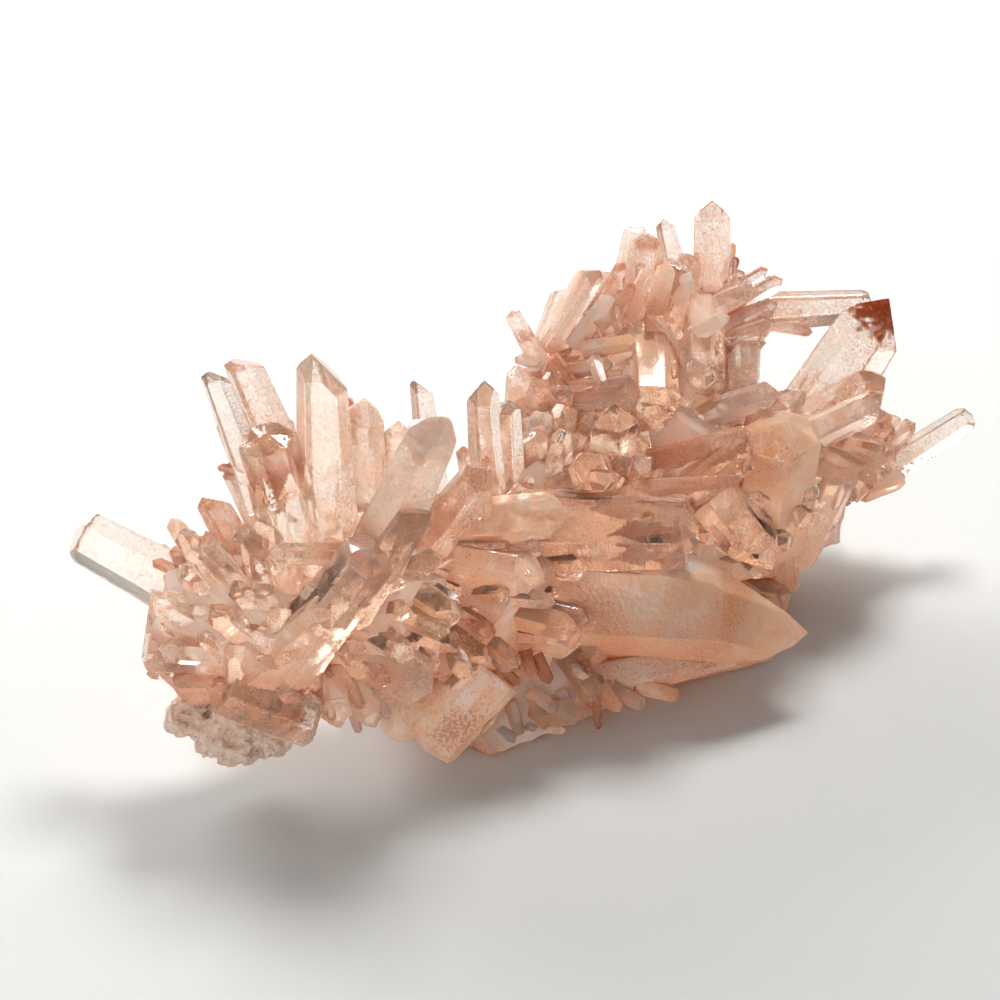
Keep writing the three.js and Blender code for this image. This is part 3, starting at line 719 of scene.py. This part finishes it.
def addSmall(heap, foot, direction, widths, lengths, random):
    # One small crystal, unless it would be buried or stand out of the whole
    size = random() ** druse["stretch"]
    width = widths[0] + (widths[1] - widths[0]) * size
    length = lengths[0] + (lengths[1] - lengths[0]) * size
    shape = (60 * random(), 0.7 + 0.6 * random(), 0.3 * (random() - 0.5))
    tip = foot + direction * length
    low, high = np.array(cadBox) / millimetre
    if insideLump(tip) or (tip < low + druse["inset"]).any() or (tip > high - druse["inset"]).any():
        return
    if not druse["ends"][0] < tip[0] < druse["ends"][1] or pastEdge(tip):
        return
    side = unit(np.cross(direction, [0.31, 0.52, 0.79]))
    plain = width < druse["plainBelow"]
    addCrystal(heap, tip, foot - direction * width, width, shape, side, "druse", random, plain)


def addDruse(heap):
    random = Seeded(seeds["druse"])
    ends = [(seen(tip), seen(root), width) for tip, root, width, *rest in frontCrystals]
    ends += [(moved(tip), moved(root), width) for tip, root, width in backCrystals]
    rootsOfAll = np.array([root for tip, root, width in ends])
    axesOfAll = np.array([unit(tip - root) for tip, root, width in ends])
    for middle, halfSizes in rootLumps:
        middle, halfSizes = moved(middle), np.array(halfSizes)
        if middle[2] < druse["lowest"]:
            continue
        count = int(druse["perArea"] * (halfSizes @ np.roll(halfSizes, 1)))
        for index in range(count):
            outward = spreadDirection(index, count, random)
            foot = middle + outward * halfSizes * druse["footDepth"]
            flow = flowAt(foot, rootsOfAll, axesOfAll)
            direction = unit(flow * 1.2 + outward * (0.15 + 0.5 * random()) + random.jog(0.7))
            addSmall(heap, foot, direction, druse["lumpWidth"], druse["lumpLength"], random)
    for tip, root, width in ends:
        axis = unit(tip - root)
        length = np.linalg.norm(tip - root)
        right = unit(np.cross(axis, [0.31, 0.52, 0.79]))
        away = np.cross(axis, right)
        for index in range(int(druse["perFoot"] * min(1.5, width / 7))):
            angle = 2 * math.pi * random()
            outward = right * math.cos(angle) + away * math.sin(angle)
            foot = root + axis * length * (0.02 + 0.22 * random()) + outward * width * 0.4
            direction = unit(axis * (1 + random()) + outward * (0.1 + 0.4 * random()) + random.jog(0.3))
            addSmall(heap, foot, direction, druse["footWidth"], druse["footLength"], random)


# The grey crust: how far it is worn back, how fine it is and how far its crumbs and grains stand out
crust = {
    "worn": 0.86,
    "voxel": 0.45,
    "crumbs": 1.1,
    "crumbScale": 0.45,
    "crumbGain": 1.6,
    "crumbSunk": 0.55,
    "grains": 0.36,
    "grainScale": 1.6,
}


def crustMesh():
    heap = Heap("crust")
    random = Seeded(seeds["crust"])
    for middle, halfSizes in crustBlocks:
        worn = np.array(halfSizes) * crust["worn"]
        heap.add(blockPoints(moved(middle), worn, random), {"variety": random()})
    block = bpy.data.objects.new("crustBlock", heap.joined())
    bpy.context.scene.collection.objects.link(block)
    remesh = block.modifiers.new("remesh", "REMESH")
    remesh.mode, remesh.voxel_size = "VOXEL", crust["voxel"] * millimetre
    graph = bpy.context.evaluated_depsgraph_get()
    mesh = bpy.data.meshes.new_from_object(block.evaluated_get(graph))
    bpy.data.objects.remove(block)
    for vertex in mesh.vertices:
        place = vertex.co / millimetre
        crumb = abs(noise.noise(place * crust["crumbScale"])) * crust["crumbGain"] - crust["crumbSunk"]
        grain = noise.noise(place * crust["grainScale"])
        vertex.co += vertex.normal * (crumb * crust["crumbs"] + grain * crust["grains"]) * millimetre
        vertex.co.z = max(vertex.co.z, 0.0)
    return mesh


class Signal:
    # A socket's value: sums and products of it add Math nodes
    def __init__(self, graph, socket):
        self.graph = graph
        self.socket = socket

    def math(self, operation, *values, clamp=False):
        inputs = dict(enumerate(values))
        return self.graph.node("ShaderNodeMath", {"operation": operation, "use_clamp": clamp}, inputs)

    def __add__(self, other):
        return self.math("ADD", self, other)

    def __radd__(self, other):
        return self.math("ADD", other, self)

    def __sub__(self, other):
        return self.math("SUBTRACT", self, other)

    def __rsub__(self, other):
        return self.math("SUBTRACT", other, self)

    def __mul__(self, other):
        return self.math("MULTIPLY", self, other)

    def __truediv__(self, other):
        return self.math("DIVIDE", self, other)

    def clamped(self):
        return self.math("ADD", self, 0.0, clamp=True)


class Graph:
    # The nodes of a material or of the room
    def __init__(self, owner):
        owner.use_nodes = True
        self.owner = owner
        self.tree = owner.node_tree
        self.tree.nodes.clear()

    def node(self, kind, settings=None, inputs=None, output=0):
        made = self.tree.nodes.new(kind)
        for name, value in (settings or {}).items():
            setattr(made, name, value)
        for key, value in (inputs or {}).items():
            if isinstance(value, Signal):
                self.tree.links.new(value.socket, made.inputs[key])
            else:
                made.inputs[key].default_value = value
        return None if output is None else Signal(self, made.outputs[output])

    def attribute(self, name, output="Fac"):
        return self.node("ShaderNodeAttribute", {"attribute_name": name}, output=output)

    def noise(self, place, scale, detail, rough=0.5, warp=0.0):
        inputs = {"Vector": place, "Scale": scale, "Detail": detail, "Roughness": rough, "Distortion": warp}
        return self.node("ShaderNodeTexNoise", {}, inputs, "Fac")

    def between(self, value, low, high, start=0.0, end=1.0):
        # Smooth step of a value from one level to another
        inputs = {0: value, 1: low, 2: high, 3: start, 4: end}
        return self.node("ShaderNodeMapRange", {"interpolation_type": "SMOOTHSTEP"}, inputs)

    def blend(self, share, first, second):
        # One colour passing into another
        return self.node("ShaderNodeMix", {"data_type": "RGBA"}, {0: share, 6: first, 7: second}, 2)

    def mixed(self, share, first, second):
        # One surface passing into another
        return self.node("ShaderNodeMixShader", {}, {0: share, 1: first, 2: second})

    def spot(self, place, centre, radius):
        # 1 near a point given in view millimetres, 0 beyond the radius
        away = self.vector("DISTANCE", place, tuple(seen(centre) * millimetre), "Value")
        return self.between(away, radius * millimetre, radius * 0.3 * millimetre)

    def bump(self, height, strength, distance):
        inputs = {"Strength": strength, "Distance": distance * millimetre, "Height": height}
        return self.node("ShaderNodeBump", {}, inputs, "Normal")

    def openness(self, samples, distance):
        # How open the surface is: 1 in the open and 0 in a crevice
        inputs = {"Distance": distance * millimetre}
        return self.node("ShaderNodeAmbientOcclusion", {"samples": samples}, inputs, "AO")

    def vector(self, operation, first, second, output=0):
        return self.node("ShaderNodeVectorMath", {"operation": operation}, {0: first, 1: second}, output)


def colour(red, green, blue):
    # From screen values 0 to 255
    def linear(value):
        value /= 255
        return value / 12.92 if value <= 0.04045 else ((value + 0.055) / 1.055) ** 2.4
    return (linear(red), linear(green), linear(blue), 1.0)


# Quartz: colours of the clouds and stains, painted crevice shade, and how light passes through
quartz = {
    "cloudPale": colour(255, 252, 247),
    "cloudPeach": colour(250, 196, 152),
    "cloudOrange": colour(246, 168, 114),
    # Iron stain mixed with painted shade: the colour of the crevices, and of the rust wash in the named
    # spots
    "creviceStainAndShade": colour(196, 104, 56),
    "rust": colour(146, 72, 32),
    "black": colour(70, 34, 16),
    "brown": colour(132, 78, 44),
    "clearTint": colour(255, 250, 246),
    "absorbColour": (0.99, 0.78, 0.55, 1.0),
    "absorbDensity": 16.0,
    "index": 1.545,
    "glow": 0.5,
    "glowPale": colour(255, 236, 216),
    "glowStained": colour(214, 116, 64),
    "creviceReach": 2.5,
    "bumpStrength": 0.35,
    "bumpHeight": 0.3,
    "growthLines": 1500.0,
}

# Noises of the quartz: scale, detail, roughness and warp
quartzNoises = {
    "cloud": (150.0, 2.0, 0.6, 0.6),
    "wisps": (420.0, 2.0, 0.6),
    "patches": (60.0, 1.0, 0.55),
    "specks": (1900.0, 1.0, 0.6),
    "grain": (900.0, 2.0, 0.6),
    "fineSpecks": (3200.0, 0.0),
}

# Where each effect begins and where it is full, and for roughness also its two values
quartzSteps = {
    "clearness": (0.1, 0.9),
    "low": (0.03, 0.01),
    "frost": (0.6, 0.8),
    # Crevices found by occlusion take iron stain together with painted shade
    "creviceStainAndShade": (0.5, 0.1),
    # The deepest hollows painted darker: painted shade together with rust
    "deepestShadeAndRust": (0.26, 0.04),
    "stainPatch": (0.46, 0.72),
    "stainSpeck": (0.68, 0.76),
    "rustPatch": (0.45, 0.65),
    "rustSpeck": (0.66, 0.74),
    "rustSpot": (0.62, 0.7),
    "fleck": (0.53, 0.58),
    "darkEnd": (0.78, 0.86),
    "darkGrain": (0.45, 0.65),
    "pale": (0.6, 0.95),
    "glassRough": (0.35, 0.8, 0.0, 0.12),
    "cloudRough": (0.3, 0.7, 0.08, 0.3),
}

# Spots of rust: middle as in the tables of crystals, radius, how much wash and how many specks
stainSpots = [
    ((-8, -46.6, -54), 8, 0.3, 0.85),
    ((-42, -43, -63), 5, 0.9, 0.9),
    ((-6, -26.5, -49), 9, 0.6, 0.5),
    ((6, -31, -45), 7, 0.6, 0.4),
    ((11, -34, -41), 5, 0.6, 0.4),
    ((24, -5.5, -24), 8, 0.4, 0.3),
    ((36, 12.6, -4), 8, 0.6, 0.3),
    ((48, 13, 0), 7, 0.5, 0.3),
]

# One spot of black flecks
fleckSpot = ((-47.2, 1.6, -53), 6)


def surfaceTo(graph, surface, volume=None):
    links = {0: surface} if volume is None else {0: surface, 1: volume}
    graph.node("ShaderNodeOutputMaterial", {}, links, None)
    return graph.owner


class QuartzGraph(Graph):
    # What one step works out about a point of the surface is kept for the steps after it
    def step(self, name, value):
        return self.between(value, *quartzSteps[name])

    def readCrystal(self):
        # The kind of crystal, and how far along it the point lies
        self.place = self.node("ShaderNodeTexCoord", output="Object")
        growth = self.attribute("growth", "Vector")
        fromRoot = self.vector("SUBTRACT", self.place, self.attribute("crystalRoot", "Vector"))
        self.along = self.vector("DOT_PRODUCT", fromRoot, growth, "Value")
        perLength = self.vector("LENGTH", growth, (0, 0, 0), "Value")
        self.reach = self.along / perLength.math("MAXIMUM", perLength, 1.0)
        self.variety = self.attribute("variety")
        self.clarity = self.attribute("clarity")
        self.stain = self.attribute("stain")

    def addNoises(self):
        offset = self.node("ShaderNodeCombineXYZ", {}, {0: self.variety * 0.37, 1: self.variety * 0.11})
        shifted = self.vector("ADD", self.place, offset)
        self.cloud = self.noise(shifted, *quartzNoises["cloud"])
        self.wisps = self.noise(shifted, *quartzNoises["wisps"])
        self.patches = self.noise(self.place, *quartzNoises["patches"])
        self.specks = self.noise(self.place, *quartzNoises["specks"])
        self.grain = self.noise(self.place, *quartzNoises["grain"])
        self.fineSpecks = self.noise(self.place, *quartzNoises["fineSpecks"])

    def addSpots(self):
        self.washed, self.dotted = 0, 0
        for middle, radius, wash, dots in stainSpots:
            near = self.spot(self.place, middle, radius)
            self.washed, self.dotted = self.washed + near * wash, self.dotted + near * dots
        self.flecked = self.spot(self.place, *fleckSpot)

    def addClouds(self):
        # Crystals are clear towards their points and clouded at their feet
        uneven = (0.5 - self.cloud) * 0.5 + (0.5 - self.wisps) * 0.35
        clearness = self.step("clearness", self.clarity * 0.9 + self.along * 0.4 - 0.25 + uneven)
        low = self.step("low", self.node("ShaderNodeSeparateXYZ", {}, {0: self.place}, "Z"))
        self.milk = (1 - clearness + low * 0.6 + self.washed * 0.8).clamped()
        self.frost = self.step("frost", self.specks * 0.5 + self.wisps * 0.3 + self.milk * 0.5)

    def addStains(self):
        # Iron stain in patches, as specks and in the named spots; in the crevices, iron stain mixed with
        # painted shade
        self.open = self.openness(2, quartz["creviceReach"])
        # Painted shade with iron stain where the surface is closed in
        self.creviceStainAndShade = self.step("creviceStainAndShade", self.open)
        patched = self.patches + self.stain * 0.22 - self.along * 0.06 + self.washed * 0.3
        self.stainPatch = self.step("stainPatch", patched)
        self.stainSpeck = self.step("stainSpeck", self.specks + self.stain * 0.06 + self.patches * 0.25)
        rustPatch = self.step("rustPatch", self.patches + self.stain * 0.15)
        self.rustSpeck = self.step("rustSpeck", self.fineSpecks + self.stain * 0.06) * rustPatch
        dotted = self.grain * 0.4 + self.specks * 0.6 + self.dotted * 0.2
        self.rustSpot = self.step("rustSpot", dotted) * self.dotted
        self.fleck = self.step("fleck", self.specks * 0.7 + self.wisps * 0.3) * self.flecked
        darkFrom = self.along + (self.cloud - 0.5) * 0.3 + (self.wisps - 0.5) * 0.25
        self.darkEnd = self.attribute("dark") * self.step("darkEnd", darkFrom)
        self.darkTone = self.blend(self.step("darkGrain", self.grain), quartz["black"], quartz["brown"])

    def cloudColour(self):
        mottled = self.cloud * 0.5 + self.wisps * 0.5 + self.specks * 0.3 + self.variety * 0.3
        pale = self.blend(self.step("pale", mottled), quartz["cloudPale"], quartz["cloudPeach"])
        stained = self.blend(self.stainPatch * 0.6, pale, quartz["cloudOrange"])
        # Painted shade and iron stain in the crevices, and rust wash in the named spots
        deepShare = (self.creviceStainAndShade * 0.9 + self.washed * 0.8).clamped()
        deep = self.blend(deepShare, stained, quartz["creviceStainAndShade"])
        rusty = (self.stainSpeck * 0.35 + self.rustSpeck * 0.7 + self.rustSpot * 0.9).clamped()
        speckled = self.blend(rusty, deep, quartz["rust"])
        # The deepest hollows painted darker: painted shade together with rust
        deepestShaded = self.blend(self.step("deepestShadeAndRust", self.open) * 0.8, speckled, quartz["rust"])
        return self.blend((self.darkEnd + self.fleck).clamped(), deepestShaded, self.darkTone)

    def bumped(self):
        # Growth lines across the clear crystals, and a grain that is rougher on the cloudy ones
        lines = self.node("ShaderNodeTexNoise", {"noise_dimensions": "1D"}, {
            "W": self.reach * quartz["growthLines"] + self.variety * 40.0,
            "Scale": 1.0,
            "Detail": 2.0,
            "Roughness": 0.7,
        }, "Fac")
        height = lines * self.clarity * 0.5 + self.grain * (1.2 - self.clarity)
        return self.bump(height, quartz["bumpStrength"], quartz["bumpHeight"])

    def clearPart(self, normal):
        return self.node("ShaderNodeBsdfPrincipled", {}, {
            "Base Color": self.blend(self.darkEnd, quartz["clearTint"], self.darkTone),
            "Roughness": self.step("glassRough", self.wisps + (1 - self.clarity) * 0.2),
            "IOR": quartz["index"],
            "Transmission Weight": 1.0,
            "Normal": normal,
        })

    def cloudPart(self, normal):
        return self.node("ShaderNodeBsdfPrincipled", {}, {
            "Base Color": self.cloudColour(),
            "Roughness": self.step("cloudRough", self.grain),
            "IOR": quartz["index"],
            "Normal": normal,
        })

    def glowPart(self, normal):
        # Light that comes through the clouds, redder where they are stained and, as painted shade, in the
        # crevices
        pale, stained = [
            self.node("ShaderNodeBsdfTranslucent", {}, {"Color": quartz[tone], "Normal": normal})
            for tone in ("glowPale", "glowStained")
        ]
        share = self.stainPatch * 0.3 + self.creviceStainAndShade * 0.8 + self.rustSpeck * 0.5 + self.darkEnd + self.fleck
        return self.mixed(share.clamped(), pale, stained)

    def clouded(self):
        # How much of the surface is cloud, stain, dirt or painted crevice shade, and not clear quartz
        body = (0.45 - self.clarity).clamped()
        cloudShare = 0.03 + self.milk * 0.34 + self.frost * 0.14 + self.creviceStainAndShade * 0.4 + body
        specks = self.stainSpeck * 0.15 + self.rustSpeck * 0.45 + self.rustSpot * 0.8
        return (cloudShare + specks + self.darkEnd * 0.9 + self.fleck).clamped()


def quartzMaterial():
    graph = QuartzGraph(bpy.data.materials.new("peachQuartz"))
    graph.readCrystal()
    graph.addNoises()
    graph.addSpots()
    graph.addClouds()
    graph.addStains()
    normal = graph.bumped()
    cloudy = graph.mixed(quartz["glow"], graph.cloudPart(normal), graph.glowPart(normal))
    surface = graph.mixed(graph.clouded(), graph.clearPart(normal), cloudy)
    absorb = graph.node("ShaderNodeVolumeAbsorption", {}, {
        "Color": quartz["absorbColour"],
        "Density": quartz["absorbDensity"],
    })
    return surfaceTo(graph, surface, absorb)


# Crust: dry clay, with painted shade in its hollows and dark specks
crustLook = {
    "bumpStrength": 0.35,
    "bumpHeight": 0.3,
    "creviceReach": 3,
    "light": colour(238, 214, 198),
    "mid": colour(216, 186, 166),
    # Dark tone: painted shade in the hollows, and the colour of the dark specks
    "dark": colour(146, 108, 84),
}


def crustMaterial():
    graph = Graph(bpy.data.materials.new("greyCrust"))
    place = graph.node("ShaderNodeTexCoord", output="Object")
    grains = graph.noise(place, 700.0, 5.0, 0.65)
    spots = graph.noise(place, 2600.0, 3.0, 0.6)
    openness = graph.openness(6, crustLook["creviceReach"])
    base = graph.blend(graph.between(grains, 0.35, 0.65), crustLook["mid"], crustLook["light"])
    # Painted shade in the hollows, from how closed in the surface is
    shaded = graph.blend(graph.between(openness, 0.6, 0.1) * 0.7, base, crustLook["dark"])
    speckled = graph.blend(graph.between(spots, 0.62, 0.7) * 0.6, shaded, crustLook["dark"])
    bumped = graph.bump(grains * 0.6 + spots * 0.4, crustLook["bumpStrength"], crustLook["bumpHeight"])
    dry = graph.node("ShaderNodeBsdfPrincipled", {}, {
        "Base Color": speckled,
        "Roughness": graph.between(spots, 0.3, 0.7, 0.7, 0.95),
        "Normal": bumped,
    })
    return surfaceTo(graph, dry)


def paperMaterial():
    graph = Graph(bpy.data.materials.new("paper"))
    place = graph.node("ShaderNodeTexCoord", output="Object")
    fibre = graph.noise(place, 900.0, 4.0, 0.6)
    dust = graph.between(graph.noise(place, 260.0, 2.0, 0.5), 0.79, 0.8)
    bumped = graph.bump(fibre, paper["bumpStrength"], paper["bumpHeight"])
    sheet = graph.node("ShaderNodeBsdfPrincipled", {}, {
        "Base Color": graph.blend(dust * 0.3, paper["colour"], paper["dust"]),
        "Roughness": graph.between(fibre, 0.3, 0.7, 0.75, 0.85),
        "Normal": bumped,
    })
    return surfaceTo(graph, sheet)


def newPiece(name, mesh, material):
    piece = bpy.data.objects.new(name, mesh)
    bpy.context.scene.collection.objects.link(piece)
    mesh.materials.clear()
    mesh.materials.append(material)
    return piece


def buildCluster():
    heap = Heap("clusterBody")
    addMass(heap)
    addFrontCrystals(heap, frontCrystals, seeds["front"])
    addFrontCrystals(heap, thinCrystals, seeds["thin"])
    addBackCrystals(heap)
    addFillCrystals(heap)
    print("crystals", heap.count)
    addDruse(heap)
    print("with druse", heap.count)
    mesh = heap.joined()
    print("cluster faces", len(mesh.polygons))
    keep(newPiece("quartzCluster", mesh, quartzMaterial()))


def buildCrust():
    mesh = crustMesh()
    print("crust faces", len(mesh.polygons))
    keep(newPiece("crumblyCrust", mesh, crustMaterial()))


def keep(piece):
    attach(piece, "root")
    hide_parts("quartz_cluster")


# The sheet that the cluster lies on
paper = {
    "size": 4.0,
    "colour": colour(188, 188, 186),
    "dust": colour(150, 148, 140),
    "bumpStrength": 0.1,
    "bumpHeight": 0.1,
}


def buildPaper():
    body = bmesh.new()
    bmesh.ops.create_grid(body, x_segments=2, y_segments=2, size=paper["size"] / 2)
    mesh = bpy.data.meshes.new("paper")
    body.to_mesh(mesh)
    body.free()
    newPiece("paper", mesh, paperMaterial())


# Soft lights: place in metres, size across, power and colour
lights = {
    "back": {"place": (0.13, 0.5, 0.95), "size": (0.34, 0.34), "power": 12.0, "colour": (1, 1, 1)},
    "wash": {"place": (-0.55, 0.75, 0.42), "size": (1.0, 0.5), "power": 15.0, "colour": (1, 1, 0.99)},
    "front": {"place": (-0.35, -1.4, 0.55), "size": (1.2, 0.7), "power": 8.0, "colour": (1, 0.985, 0.96)},
}


def buildLights():
    aim = Vector((0, 0, 0.02))
    for name, light in lights.items():
        data = bpy.data.lights.new(name, "AREA")
        data.shape = "RECTANGLE"
        data.size, data.size_y = light["size"]
        data.energy, data.color = light["power"], light["colour"]
        lamp = bpy.data.objects.new(name, data)
        lamp.location = light["place"]
        lamp.rotation_euler = (Vector(light["place"]) - aim).to_track_quat("Z", "Y").to_euler()
        bpy.context.scene.collection.objects.link(lamp)
    buildRoom()


# The room around: darker at the horizon than overhead
room = {"colour": (0.97, 0.98, 1.0, 1.0), "horizon": 0.14, "overhead": 0.36}


def buildRoom():
    graph = Graph(bpy.data.worlds.new("room"))
    direction = graph.node("ShaderNodeTexCoord", output="Generated")
    height = graph.node("ShaderNodeSeparateXYZ", {}, {0: direction}, "Z")
    inputs = {0: height, 1: 0.0, 2: 1.0, 3: room["horizon"], 4: room["overhead"]}
    light = graph.node("ShaderNodeMapRange", {}, inputs)
    background = graph.node("ShaderNodeBackground", {}, {"Color": room["colour"], "Strength": light})
    graph.node("ShaderNodeOutputWorld", {}, {"Surface": background}, None)
    bpy.context.scene.world = graph.owner


def buildCamera():
    data = bpy.data.cameras.new("camera")
    data.sensor_width = view["sensor"]
    data.lens = data.sensor_width * view["distance"] / view["frameWidth"]
    camera = bpy.data.objects.new("camera", data)
    axes = Matrix((Vector((1, 0, 0)), Vector(screenUp), Vector(-forward))).transposed()
    camera.matrix_world = Matrix.Translation(Vector(viewer) * millimetre) @ axes.to_4x4()
    bpy.context.scene.collection.objects.link(camera)
    bpy.context.scene.camera = camera
    bpy.context.scene.view_settings.view_transform = "Standard"
    bpy.context.scene.view_settings.look = "None"
    bpy.context.scene.cycles.use_light_tree = False  # quicker, with three lights
    bpy.context.scene.cycles.adaptive_threshold = 0.35  # quicker


buildCluster()
buildCrust()
buildPaper()
buildLights()
buildCamera()
print("stage ready")
